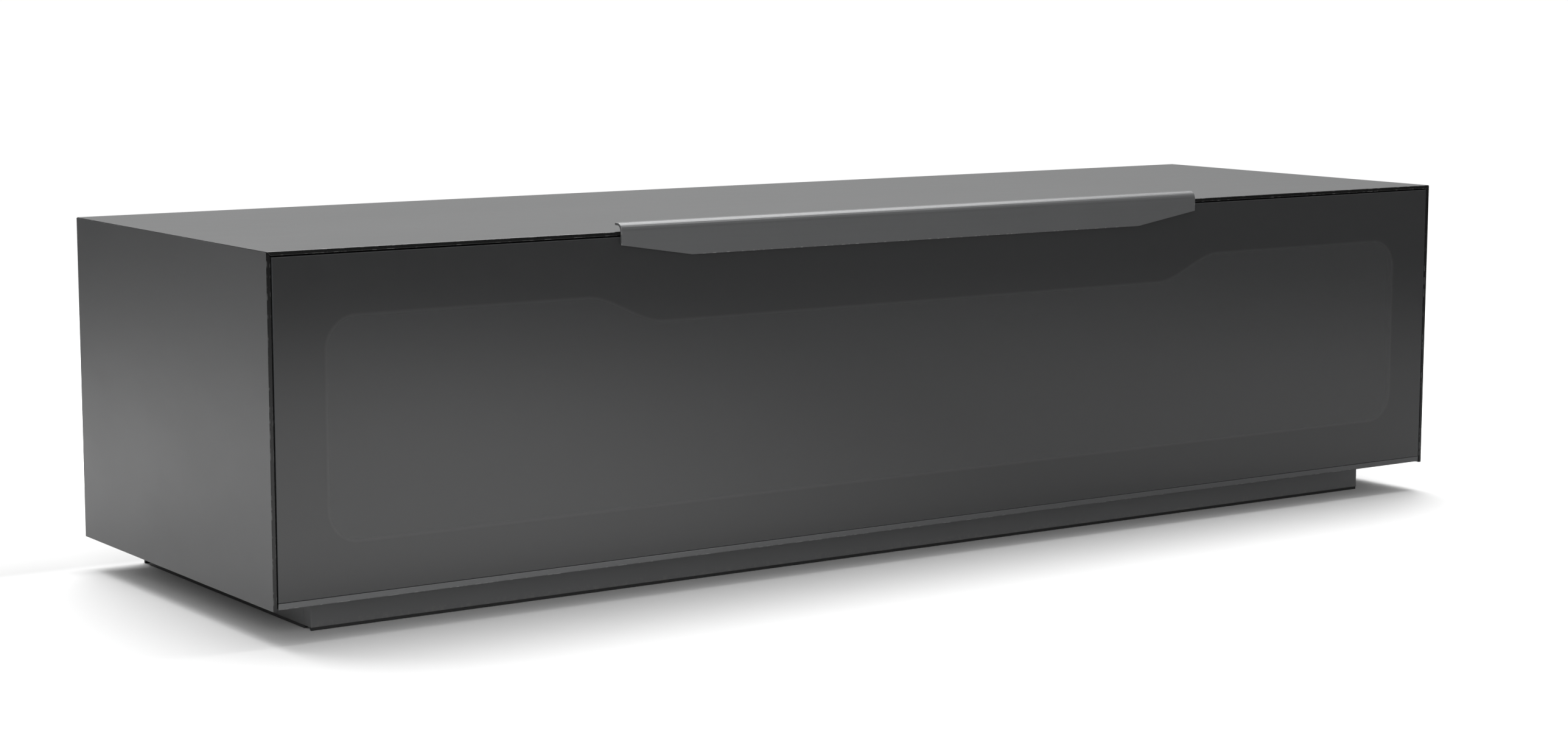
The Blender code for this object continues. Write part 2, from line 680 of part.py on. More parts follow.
def make_damper_arm(side):
    end = ARM_START + STAY_SHEET
    outline = bar(SPINDLE_YZ, ARM_HUB_RADIUS, ARM_END_YZ, STAY_EYE_RADIUS)
    shape = prism(outline, "X", *span(side, ARM_START, end))
    arm = place(f"damper_arm_{side}", shape, "zinc_steel", (inward(side, ARM_START), *SPINDLE_YZ))
    holes = (
        ("hub", SPINDLE_YZ, SPINDLE_RADIUS + STAY_PIN_PLAY),
        ("tip", ARM_END_YZ, STAY_PIN_RADIUS + STAY_PIN_PLAY),
    )
    for name, centre, radius in holes:
        cutter = eye_cutter(f"cut_arm_{name}_{side}", side, centre, radius, ARM_START, end)
        combine(arm, cutter, "DIFFERENCE")


def make_damper_link(side):
    end = LINK_START + STAY_SHEET
    outline = bar(ARM_END_YZ, STAY_EYE_RADIUS, FLAP_PIVOT_YZ, STAY_EYE_RADIUS)
    shape = prism(outline, "X", *span(side, LINK_START, end))
    link = place(f"damper_link_{side}", shape, "zinc_steel", (inward(side, LINK_START), *ARM_END_YZ))
    pin_ends = span(side, ARM_START - STAY_PLAY / 2, LINK_START + STAY_SHEET / 2)
    pin = turned("X", ARM_END_YZ, [(x, STAY_PIN_RADIUS) for x in pin_ends], ROUND_SIDES)
    combine(link, helper(f"join_link_pin_{side}", pin), "UNION")
    radius = STAY_PIN_RADIUS + OPEN_PIVOT_PLAY
    cutter = eye_cutter(f"cut_link_eye_{side}", side, FLAP_PIVOT_YZ, radius, LINK_START, end)
    combine(link, cutter, "DIFFERENCE")


def make_flap_bracket(side):
    """A plate on the flap's inner face with a lug, whose pin the link turns on."""
    lug_end = LUG_START + STAY_SHEET
    centre = FLAP_PIVOT_YZ
    foot = FLAP_INNER + FIT
    base = foot + FLAP_BRACKET_SHEET / 2
    lean = math.radians(60)
    tip = arc(centre, STAY_EYE_RADIUS, lean, -lean, 8)
    spread = FLAP_BRACKET_HEIGHT / 4
    outline = [(base, centre[1] + spread), *tip, (base, centre[1] - spread)]
    shape = prism(outline, "X", *span(side, LUG_START, lug_end))
    bracket = place(f"flap_bracket_{side}", shape, "zinc_steel", flap_origin())
    middle = LUG_START + STAY_SHEET / 2
    x = span(side, middle - FLAP_BRACKET_WIDTH / 2, middle + FLAP_BRACKET_WIDTH / 2)
    low = (x[0], foot, centre[1] - FLAP_BRACKET_HEIGHT / 2)
    high = (x[1], foot + FLAP_BRACKET_SHEET, centre[1] + FLAP_BRACKET_HEIGHT / 2)
    combine(bracket, helper(f"join_bracket_plate_{side}", block(low, high)), "UNION")
    pin_ends = span(side, LINK_START - STAY_PLAY / 2, middle)
    pin = turned("X", centre, [(end, STAY_PIN_RADIUS) for end in pin_ends], ROUND_SIDES)
    combine(bracket, helper(f"join_bracket_pin_{side}", pin), "UNION")


def make_stays():
    for side in SIDES:
        make_damper_housing(side)
        make_damper_arm(side)
        make_damper_link(side)
        make_flap_bracket(side)


# ---------------------------------------------------------------- catches and bumpers

def make_catches():
    """Magnets under the top board, their strike plates on the flap, and a bumper on each side board."""
    strike_front = FLAP_INNER + FIT
    strike_back = strike_front + STRIKE_SIZE[1]
    catch_top = TOP_BOARD_UNDERSIDE - FIT
    strike_z = catch_top - CATCH_SIZE[2] / 2
    for side, sign in SIDES.items():
        x = sign * (SIDE_INNER_X - CATCH_DISTANCE)
        half = CATCH_SIZE[0] / 2
        low = (x - half, strike_back + FIT, catch_top - CATCH_SIZE[2])
        high = (x + half, strike_back + FIT + CATCH_SIZE[1], catch_top)
        board(f"magnet_catch_{side}", low, high, "black_plastic")
        half = STRIKE_SIZE[0] / 2
        low = (x - half, strike_front, strike_z - STRIKE_SIZE[2] / 2)
        high = (x + half, strike_back, strike_z + STRIKE_SIZE[2] / 2)
        place(f"strike_plate_{side}", block(low, high), "zinc_steel", flap_origin())
        bumper_x = sign * (SIDE_INNER_X + BOARD / 2)
        bumper_z = TOP_BOARD_UNDERSIDE - BUMPER_BELOW_TOP
        stations = [
            (FLAP_INNER + FIT, BUMPER_RADIUS - EDGE),
            (FLAP_INNER + FIT + EDGE, BUMPER_RADIUS),
            (BOARD_FRONT - FIT, BUMPER_RADIUS),
        ]
        shape = turned("Y", (bumper_x, bumper_z), stations, SMALL_ROUND_SIDES)
        place(f"bumper_{side}", shape, "black_plastic", (bumper_x, BOARD_FRONT, bumper_z), smooth=True)


clear_scene()
make_plinth()
make_carcass()
make_skins()
make_back()
make_shelves()
make_flap_panel()
make_hinge_profile()
make_hinge_brackets()
make_handle()
make_stays()
make_catches()
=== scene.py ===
"""Finishes, small fittings, floor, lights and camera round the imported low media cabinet.

Metres, +Z up, the front at -Y. Places come from the boxes of the frame's own pieces.
"""

import math
import random

import bmesh
import bpy
from mathutils import Matrix, Vector


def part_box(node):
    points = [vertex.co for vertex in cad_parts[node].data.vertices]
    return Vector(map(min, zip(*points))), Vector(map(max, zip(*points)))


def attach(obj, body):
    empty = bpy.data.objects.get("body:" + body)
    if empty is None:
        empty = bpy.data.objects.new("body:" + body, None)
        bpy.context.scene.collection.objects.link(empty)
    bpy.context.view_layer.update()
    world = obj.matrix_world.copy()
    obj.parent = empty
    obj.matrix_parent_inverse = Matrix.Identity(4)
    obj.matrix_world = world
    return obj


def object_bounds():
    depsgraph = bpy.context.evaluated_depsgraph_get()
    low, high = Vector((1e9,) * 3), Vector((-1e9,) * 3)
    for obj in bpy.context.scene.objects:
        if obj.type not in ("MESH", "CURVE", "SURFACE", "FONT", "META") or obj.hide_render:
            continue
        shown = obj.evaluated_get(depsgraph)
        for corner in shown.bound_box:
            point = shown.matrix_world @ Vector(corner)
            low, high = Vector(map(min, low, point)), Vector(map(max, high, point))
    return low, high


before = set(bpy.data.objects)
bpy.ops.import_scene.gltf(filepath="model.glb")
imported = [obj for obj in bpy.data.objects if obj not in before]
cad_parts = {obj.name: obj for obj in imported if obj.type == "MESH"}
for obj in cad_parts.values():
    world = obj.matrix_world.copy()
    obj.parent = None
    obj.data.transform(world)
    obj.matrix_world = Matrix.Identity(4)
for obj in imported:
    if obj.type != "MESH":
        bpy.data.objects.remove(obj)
cad_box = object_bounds()
scene = bpy.context.scene
SIDES = {"left": -1, "right": 1}
BOTH_WAYS = (-1, 1)
MM = 0.001


# ---------------------------------------------------------------- nodes as expressions

class Value:
    """One output of a node tree. Arithmetic on it adds Math nodes."""

    def __init__(self, tree, socket):
        self.tree = tree
        self.socket = socket

    def math(self, operation, *operands):
        inputs = dict(enumerate(operands))
        return self.tree.node("ShaderNodeMath", {"operation": operation}, inputs)

    def __add__(self, other):
        return self.math("ADD", self, other)

    __radd__ = __add__

    def __sub__(self, other):
        return self.math("SUBTRACT", self, other)

    def __rsub__(self, other):
        return self.math("SUBTRACT", other, self)

    def __mul__(self, other):
        return self.math("MULTIPLY", self, other)

    __rmul__ = __mul__

    def __abs__(self):
        return self.math("ABSOLUTE", self)

    def power(self, other):
        return self.math("POWER", self, other)

    def at_least(self, other):
        return self.math("MAXIMUM", self, other)

    def at_most(self, other):
        return self.math("MINIMUM", self, other)

    def rise(self, start, end):
        """0 below start, 1 above end, and a smooth step between them."""
        limits = {"Value": self, "From Min": start, "From Max": end}
        return self.tree.node("ShaderNodeMapRange", {"interpolation_type": "SMOOTHSTEP"}, limits)

    def fall(self, start, end):
        """1 below start, 0 above end, and a smooth step between them."""
        return 1 - self.rise(start, end)


def diagonal(first, second):
    """The length that two lengths at right angles add up to."""
    return (first.power(2.0) + second.power(2.0)).power(0.5)


# The colour sockets of a Mix node go by number, as its sockets for numbers have the same names.
MIX_SHARE, MIX_FIRST, MIX_SECOND, MIXED = 0, 6, 7, 2


class Tree:
    """A node tree with one method that adds any node."""

    def __init__(self, node_tree):
        self.nodes = node_tree.nodes
        self.links = node_tree.links
        self.found = {}

    def node(self, kind, settings=None, inputs=None, output=0):
        """Add a node of this kind: settings first, then a value or a link for each input."""
        added = self.nodes.new(kind)
        for name, setting in (settings or {}).items():
            setattr(added, name, setting)
        for name, given in (inputs or {}).items():
            self.feed(added.inputs[name], given)
        return Value(self, added.outputs[output])

    def feed(self, socket, given):
        if isinstance(given, Value):
            self.links.new(given.socket, socket)
        else:
            socket.default_value = given

    def place(self, output="Object"):
        """Where a point of the piece is at rest, in metres, or another coordinate output."""
        if output not in self.found:
            self.found[output] = self.node("ShaderNodeTexCoord", output=output)
        return self.found[output]

    def axes(self, output="Object"):
        """The three numbers of a place."""
        key = output + " axes"
        if key not in self.found:
            split = self.node("ShaderNodeSeparateXYZ", inputs={0: self.place(output)})
            self.found[key] = [Value(self, socket) for socket in split.socket.node.outputs]
        return self.found[key]

    def noise(self, scale, detail=2.0, roughness=0.5, stretch=(1.0, 1.0, 1.0)):
        """Smooth noise from 0 to 1, with scale features to the metre before the stretch."""
        place = self.node("ShaderNodeMapping", inputs={"Vector": self.place(), "Scale": stretch})
        inputs = {"Vector": place, "Scale": scale, "Detail": detail, "Roughness": roughness}
        return self.node("ShaderNodeTexNoise", inputs=inputs)

    def cells(self, scale):
        """One random value, from 0 to 1, for each irregular cell."""
        inputs = {"Vector": self.place(), "Scale": scale}
        colour = self.node("ShaderNodeTexVoronoi", inputs=inputs, output="Color")
        return self.node("ShaderNodeSeparateColor", inputs={0: colour})

    def mix(self, first, second, share):
        """The first colour going over to the second as share goes from 0 to 1."""
        inputs = {MIX_SHARE: share, MIX_FIRST: first, MIX_SECOND: second}
        return self.node("ShaderNodeMix", {"data_type": "RGBA"}, inputs, output=MIXED)

    def edge_distance(self, low, high):
        """How far a point on a box-shaped piece is from the box's nearest edge."""
        first, second, third = (
            (value - start).at_most(end - value)
            for value, start, end in zip(self.axes(), low, high)
        )
        smallest = first.at_most(second).at_most(third)
        largest = first.at_least(second).at_least(third)
        return first + second + third - smallest - largest


class Finish(Tree):
    """A material: a Principled shader, and what varies over the surface fed into it."""

    def __init__(self, name, **constants):
        self.material = bpy.data.materials.new(name)
        self.material.use_nodes = True
        super().__init__(self.material.node_tree)
        self.shader = next(node for node in self.nodes if node.type == "BSDF_PRINCIPLED")
        for constant, value in constants.items():
            self.shader.inputs[constant.replace("_", " ")].default_value = value

    def set(self, **varying):
        for name, given in varying.items():
            self.feed(self.shader.inputs[name.replace("_", " ")], given)
        return self.material

    def bump(self, height, depth):
        """Height from 0 to 1 as a relief of that depth."""
        inputs = {"Height": height, "Distance": depth, "Strength": 1.0}
        return self.node("ShaderNodeBump", inputs=inputs)

    def worn_edges(self, low, high, reach, scale, patches):
        """Wear that runs out over this reach from the box's edges, broken into patches."""
        near_edge = self.edge_distance(low, high).fall(*reach)
        return near_edge * self.noise(scale).rise(*patches)


def grey(level, warm=0.0):
    """A near-neutral colour: warm above 0 leans to red, below 0 to blue."""
    return (level * (1 + warm), level, level * (1 - warm), 1.0)


# ---------------------------------------------------------------- finishes

def satin_glass(name, low, high):
    """Back-lacquered anthracite glass: an etched satin face, dark cut ends in front and back."""
    finish = Finish(name, IOR=1.5, Specular_IOR_Level=0.38)
    y = finish.axes()[1]
    cloud = finish.noise(2.6, detail=3.0)
    speckle = finish.noise(900.0, detail=1.0)
    wiped = finish.noise(7.0, detail=4.0, roughness=0.62, stretch=(0.5, 1.0, 1.7))
    all_cut, no_cut = 0.5 * MM, 0.9 * MM
    front_cut = y.fall(low.y + all_cut, low.y + no_cut)
    cut = front_cut.at_least(y.rise(high.y - no_cut, high.y - all_cut))
    worn = finish.worn_edges(low, high, (0.3 * MM, 1.1 * MM), 120.0, (0.52, 0.66))
    face = finish.mix(grey(0.049, -0.01), grey(0.056, -0.02), cloud * 0.8 + speckle * 0.2)
    colour = finish.mix(finish.mix(face, grey(0.006), cut), grey(0.16), worn * 0.35)
    face_rough = 0.34 + (wiped - 0.5) * 0.10 + (speckle - 0.5) * 0.05
    rough = face_rough * (1 - cut) + 0.16 * cut
    fine = finish.bump(speckle, 0.012 * MM)
    return finish.set(Base_Color=colour, Roughness=rough, Normal=fine)


def smoked_glass(name, low, high):
    """Dark glass with a printed border round a clearer window that drops lower under the handle. The
    window's colour is painted lighter than the print, a painted reflection of the glass's back face.
    """
    side_border, top_border, bottom_border = 56 * MM, 61 * MM, 53 * MM
    corner = 34 * MM
    dip, dip_inside, dip_outside = 30 * MM, 55 * MM, 41 * MM
    print_blur = 1.2 * MM
    frame_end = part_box("flap_frame")[1].x
    handle_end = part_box("handle")[1].x
    finish = Finish(name, IOR=1.5)
    x, _, z = finish.axes()
    along = abs(x)
    half_width = frame_end - side_border
    bottom = low.z + bottom_border
    top = high.z - top_border
    half_height = (top - bottom) / 2
    out_x = (along - (half_width - corner)).at_least(0.0)
    out_z = (abs(z - (top + bottom) / 2) - (half_height - corner)).at_least(0.0)
    rounded = diagonal(out_x, out_z) - corner
    lowered = z - (top - dip * along.fall(handle_end - dip_inside, handle_end + dip_outside))
    outline = rounded.at_least(lowered)
    printed = outline.rise(-print_blur, print_blur)
    keyline = abs(outline).fall(0.5 * MM, 2.5 * MM)
    dots = finish.noise(1500.0, detail=0.0)
    smear = finish.noise(5.0, detail=5.0, roughness=0.6, stretch=(0.6, 1.0, 1.6))
    touched = finish.noise(38.0, detail=3.0) * z.rise(high.z - 90 * MM, high.z - 10 * MM)
    # The clear window is painted lighter than the print: a painted reflection of the glass's back
    # face, which the print hides.
    clear = finish.mix(grey(0.038, -0.01), grey(0.041, -0.02), smear)
    print_colour = finish.mix(grey(0.028, -0.01), grey(0.030, -0.02), dots)
    cut = finish.edge_distance(low, high).fall(0.4 * MM, 0.9 * MM)
    colour = finish.mix(finish.mix(clear, print_colour, printed), grey(0.06), keyline * 0.20)
    colour = finish.mix(colour, grey(0.05, -0.06), cut * 0.6)
    rough = 0.045 + smear * 0.05 + touched * 0.08 + cut * 0.15
    alpha = 0.93 + printed * 0.07
    ripple = finish.bump(finish.noise(3.5, detail=1.0), 0.05 * MM)
    return finish.set(Base_Color=colour, Roughness=rough, Alpha=alpha, Normal=ripple)


def shelf_glass(name, low, high):
    """Grey tinted float glass with polished, slightly green edges."""
    green = (0.10, 0.20, 0.17, 1.0)
    finish = Finish(name, IOR=1.5, Transmission_Weight=0.9)
    edge = finish.edge_distance(low, high).fall(0.5 * MM, 6 * MM)
    y = finish.axes()[1]
    rim = y.fall(low.y + 0.1 * MM, low.y + 0.6 * MM).at_least(edge * 0.3)
    smear = finish.noise(8.0, detail=4.0)
    dust = finish.noise(260.0, detail=3.0).rise(0.60, 0.78)
    colour = finish.mix(grey(0.42, -0.02), green, rim * 0.8)
    colour = finish.mix(colour, grey(0.5), dust * 0.12)
    return finish.set(Base_Color=colour, Roughness=0.03 + smear * 0.05 + dust * 0.15)


GRAIN_STRETCH = {"x": (0.035, 1.0, 1.0), "z": (1.0, 1.0, 0.035)}


def graphite_board(name, low, high, along="x"):
    """Melamine board: a fine pressed grain on the faces, and a plain edge band at the front."""
    finish = Finish(name, IOR=1.46)
    y = finish.axes()[1]
    stretch = GRAIN_STRETCH[along]
    warp = finish.noise(60.0, detail=3.0, stretch=stretch)
    grain = finish.noise(620.0, detail=3.0, roughness=0.6, stretch=stretch)
    pores = finish.noise(1700.0, detail=1.0, stretch=stretch).rise(0.58, 0.72)
    band = y.fall(low.y + 0.2 * MM, low.y + 0.8 * MM)
    worn = finish.worn_edges(low, high, (0.3 * MM, 1.2 * MM), 90.0, (0.50, 0.68))
    wood = finish.mix(grey(0.024, 0.01), grey(0.045, 0.02), warp * 0.55 + grain * 0.45)
    wood = finish.mix(wood, grey(0.012), pores * 0.7)
    colour = finish.mix(finish.mix(wood, grey(0.032), band), grey(0.11, 0.03), worn * 0.5)
    rough = 0.46 + grain * 0.14 + pores * 0.08 - band * 0.12
    relief = finish.bump((grain * 0.6 + (1 - pores) * 0.4) * (1 - band), 0.06 * MM)
    return finish.set(Base_Color=colour, Roughness=rough, Normal=relief)


def plinth_lacquer(name, low, high):
    """Satin lacquer with a faint orange peel, rubbed along its edges and dusty near the floor."""
    finish = Finish(name, IOR=1.5)
    z = finish.axes()[2]
    peel = finish.noise(420.0, detail=1.0)
    cloud = finish.noise(9.0, detail=3.0)
    worn = finish.worn_edges(low, high, (0.4 * MM, 1.6 * MM), 75.0, (0.5, 0.7))
    dust = z.fall(low.z, low.z + 9 * MM) * finish.noise(240.0, detail=4.0).rise(0.46, 0.72)
    colour = finish.mix(grey(0.109, -0.01), grey(0.125, -0.02), cloud)
    colour = finish.mix(finish.mix(colour, grey(0.15), worn * 0.5), grey(0.20, 0.05), dust * 0.35)
    rough = 0.40 + cloud * 0.10 + dust * 0.2 + peel * 0.04
    return finish.set(Base_Color=colour, Roughness=rough, Normal=finish.bump(peel, 0.03 * MM))


def brushed_aluminium(name, low, high, tones, rough, metallic):
    """Anodised aluminium: fine lines brushed along X, and edges rubbed lighter."""
    brushed = (0.006, 1.0, 1.0)
    finish = Finish(name, Metallic=metallic, IOR=1.45)
    lines = finish.noise(2600.0, detail=3.0, roughness=0.65, stretch=brushed)
    wide = finish.noise(300.0, detail=2.0, stretch=brushed)
    cloud = finish.noise(11.0, detail=2.0)
    worn = finish.worn_edges(low, high, (0.4 * MM, 1.4 * MM), 160.0, (0.50, 0.66))
    colour = finish.mix(*tones, lines * 0.5 + wide * 0.3 + cloud * 0.2)
    colour = finish.mix(colour, grey(0.45), worn * 0.30)
    roughness = rough + (lines - 0.5) * 0.16 + (cloud - 0.5) * 0.06
    relief = finish.bump(lines, 0.010 * MM)
    return finish.set(Base_Color=colour, Roughness=roughness, Normal=relief)


def anthracite_aluminium(name, low, high):
    tones = (grey(0.100, -0.01), grey(0.128, -0.02))
    return brushed_aluminium(name, low, high, tones, rough=0.42, metallic=0.45)


def light_aluminium(name, low, high):
    tones = (grey(0.12, -0.01), grey(0.16, -0.02))
    return brushed_aluminium(name, low, high, tones, rough=0.40, metallic=0.85)


def zinc_steel(name, low, high):
    """Zinc-plated steel with a mottled sheen, dull in its scratches."""
    yellowish = (0.58, 0.57, 0.52, 1.0)
    finish = Finish(name, Metallic=1.0)
    mottle = finish.cells(260.0)
    cloud = finish.noise(55.0, detail=3.0)
    scratch = finish.noise(1900.0, detail=2.0, stretch=(1.0, 0.05, 1.0)).rise(0.60, 0.72)
    tint = finish.mix(grey(0.44, -0.02), yellowish, mottle * 0.6 + cloud * 0.4)
    colour = finish.mix(tint, grey(0.30), scratch * 0.4)
    rough = 0.26 + mottle * 0.10 + cloud * 0.10 + scratch * 0.12
    return finish.set(Base_Color=colour, Roughness=rough, Normal=finish.bump(mottle, 0.008 * MM))


def black_plastic(name, low, high):
    """Moulded plastic with a fine spark-eroded texture, polished a little at its corners, where a
    painted sheen also makes the colour lighter.
    """
    finish = Finish(name, IOR=1.49)
    spark = finish.noise(1600.0, detail=2.0, roughness=0.7)
    flow = finish.noise(30.0, detail=2.0)
    # Corners: the lower roughness is real polish, the lighter colour is a painted sheen.
    polished_painted_sheen = finish.edge_distance(low, high).fall(0.3 * MM, 1.0 * MM)
    colour = finish.mix(grey(0.014), grey(0.024), flow * 0.5 + spark * 0.5)
    colour = finish.mix(colour, grey(0.06), polished_painted_sheen * 0.3)
    rough = 0.56 + (spark - 0.5) * 0.2 - polished_painted_sheen * 0.16
    return finish.set(Base_Color=colour, Roughness=rough, Normal=finish.bump(spark, 0.05 * MM))


def grey_felt(name, low, high):
    """Pressed felt: matted fibres with a soft sheen."""
    finish = Finish(name, Sheen_Weight=0.5, Sheen_Roughness=0.6)
    fibres = finish.noise(2400.0, detail=3.0, roughness=0.7, stretch=(1.0, 0.25, 1.0))
    crossing = finish.noise(2400.0, detail=3.0, roughness=0.7, stretch=(0.25, 1.0, 1.0))
    matted = fibres.at_least(crossing)
    colour = finish.mix(grey(0.06), grey(0.17, 0.03), matted.rise(0.35, 0.75))
    relief = finish.bump(matted, 0.3 * MM)
    return finish.set(Base_Color=colour, Roughness=0.86 + matted * 0.1, Normal=relief)


FINISHES = {
    "skin_glass": satin_glass,
    "smoked_glass": smoked_glass,
    "shelf_glass": shelf_glass,
    "graphite_board": graphite_board,
    "plinth_lacquer": plinth_lacquer,
    "dark_aluminium": anthracite_aluminium,
    "light_aluminium": light_aluminium,
    "zinc_steel": zinc_steel,
    "black_plastic": black_plastic,
    "grey_felt": grey_felt,
}
UPRIGHT_BOARDS = ("left_side_board", "right_side_board", "left_divider", "right_divider")


def dress_frame():
    """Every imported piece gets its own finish, so that wear and edge bands lie on its own edges."""
    for name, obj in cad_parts.items():
        slot = obj.material_slots[0]
        make_finish = FINISHES[slot.material.name]
        grain = {"along": "z"} if name in UPRIGHT_BOARDS else {}
        slot.material = make_finish(name + "_finish", *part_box(name), **grain)


# ---------------------------------------------------------------- shapes of fittings

def add_rings(mesh, rings, last_material=0):
    """A skin over rings of points, each with the same count, closed at both ends."""
    rows = [[mesh.verts.new(point) for point in points] for points in rings]
    count = len(rows[0])
    for row, after in zip(rows, rows[1:]):
        for i in range(count):
            j = (i + 1) % count
            mesh.faces.new((row[i], row[j], after[j], after[i]))
    mesh.faces.new(rows[0][::-1])
    mesh.faces.new(rows[-1]).material_index = last_material


def facing(place, out):
    """A function that turns (across, up, outwards) into a point, for something fixed at place."""
    turn = Vector(out).to_track_quat("Z", "Y").to_matrix()
    return lambda across, up, outwards: Vector(place) + turn @ Vector((across, up, outwards))


def ring(at, radius, outwards, angles):
    """Points at these angles; the radius may be a function of the angle."""
    reach = radius if callable(radius) else lambda angle: radius
    return [at(reach(a) * math.cos(a), reach(a) * math.sin(a), outwards) for a in angles]


ROUND = [math.radians(15 * i) for i in range(24)]
QUARTER = math.pi / 2
ARM_SHARE = 0.28                       # half an arm's width, as a share of its length
ARM_CORNER = math.atan(ARM_SHARE)      # the angle of the corner at the end of an arm
ARM_FLANK = math.pi / 7                # the angle of a point along the side of an arm
CROSS = [
    quarter * QUARTER + angle
    for quarter in range(4)
    for angle in (-QUARTER / 2, -ARM_FLANK, -ARM_CORNER, 0.0, ARM_CORNER, ARM_FLANK)
]


def cross_reach(length):
    """The outline of a cross-shaped recess, as a distance from its middle."""
    def reach(angle):
        off = abs((angle + QUARTER / 2) % QUARTER - QUARTER / 2)
        if off <= ARM_CORNER:
            return length / math.cos(off)
        return ARM_SHARE * length / math.sin(off)
    return reach


def add_turned(mesh, place, out, profile, height, angles=ROUND, last_material=0):
    """A turned shape of this height: its profile has a radius for each share of the height."""
    at = facing(place, out)
    rings = [ring(at, radius, height * share, angles) for radius, share in profile]
    add_rings(mesh, rings, last_material)


def add_screw(mesh, place, out, radius=3.6 * MM, height=1.7 * MM):
    """A pan-head screw with a cross recess, dark at the bottom."""
    head = ((1.0, 0.0), (1.0, 0.30), (0.90, 0.72), (0.72, 0.94), (0.60, 1.0))
    recess = ((0.52, 1.0), (0.36, 0.25))
    profile = [(radius * share, rise) for share, rise in head]
    profile += [(cross_reach(radius * share), rise) for share, rise in recess]
    add_turned(mesh, place, out, profile, height, CROSS, last_material=1)


def add_cap(mesh, place, out, radius, height):
    """A round cover cap with a rolled edge and a small dimple in the middle."""
    outline = ((1.0, 0.0), (1.0, 0.45), (0.94, 0.85), (0.84, 1.0), (0.30, 1.0), (0.20, 0.55))
    add_turned(mesh, place, out, [(radius * share, rise) for share, rise in outline], height)


def add_sleeve(mesh, place, out, outer=3.6 * MM, inner=2.5 * MM, height=0.35 * MM):
    """The flange of a sleeve round a dark shelf-pin hole."""
    flange = ((outer, 0.0), (outer, 0.6), (outer * 0.94, 1.0), (inner * 1.06, 1.0), (inner, 0.1))
    add_turned(mesh, place, out, flange, height, last_material=1)


def hexagon(across_flats):
    """The outline of a hexagon as a distance from its middle."""
    half_side, side = math.pi / 6, math.pi / 3
    return lambda angle: across_flats / 2 / math.cos((angle + half_side) % side - half_side)


def add_nut(mesh, place, out, across_flats, height, bolt):
    """A chamfered hexagon nut with the domed end of its bolt."""
    flats = hexagon(across_flats)
    nut = [(flats, 0.0), (flats, 0.78), (across_flats * 0.46, 1.0)]
    bolt_end = ((1.06, 1.0), (1.02, 0.80), (0.96, 1.10), (0.55, 1.25))
    profile = nut + [(bolt * share, rise) for share, rise in bolt_end]
    add_turned(mesh, place, out, profile, height)


def add_block(mesh, low, high, chamfer):
    """A box with chamfered edges round its faces along Y."""
    front, back = low[1], high[1]
    rows = []
    for y, inset in (
        (front, chamfer), (front + chamfer, 0.0), (back - chamfer, 0.0), (back, chamfer),
    ):
        x0, x1, z0, z1 = low[0] + inset, high[0] - inset, low[2] + inset, high[2] - inset
        rows.append([(x, y, z) for x, z in ((x0, z0), (x1, z0), (x1, z1), (x0, z1))])
    add_rings(mesh, rows)


def piece(name, body, finishes, build):
    """A new piece whose mesh is filled by build, riding on a body of the frame."""
    mesh = bmesh.new()
    build(mesh)
    bmesh.ops.recalc_face_normals(mesh, faces=mesh.faces)
    data = bpy.data.meshes.new(name)
    mesh.to_mesh(data)
    mesh.free()
    data.shade_smooth()
    data.set_sharp_from_angle(angle=math.radians(32))
    obj = bpy.data.objects.new(name, data)
    scene.collection.objects.link(obj)
    for finish in finishes:
        data.materials.append(finish)
    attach(obj, body)


def screws(name, body, places, out, finishes, **sizes):
    """One piece of several screws, with a steel and a dark finish."""
    def build(mesh):
        for place in places:
            add_screw(mesh, place, out, **sizes)
    piece(name, body, finishes, build)


def inner_face(box, side):
    """The X of a box's face towards the middle of the cabinet."""
    low, high = box
    return high.x if side == "left" else low.x


# ---------------------------------------------------------------- fittings in their places

def make_hinge_screws(finishes):
    """Two screws in the foot of each hinge bracket, one behind the other."""
    foot_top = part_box("bottom_board")[1].z + 2.3 * MM
    sideways, behind, apart = 5 * MM, 10 * MM, 18 * MM
    for place in ("far_left", "mid_left", "mid_right", "far_right"):
        low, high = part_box("hinge_bracket_" + place)
        middle = (low.x + high.x) / 2
        places = [
            (middle - sideways, high.y - behind, foot_top),
            (middle + sideways, high.y - behind - apart, foot_top),
        ]
        screws(f"hinge_screws_{place}", "cabinet", places, (0, 0, 1), finishes)


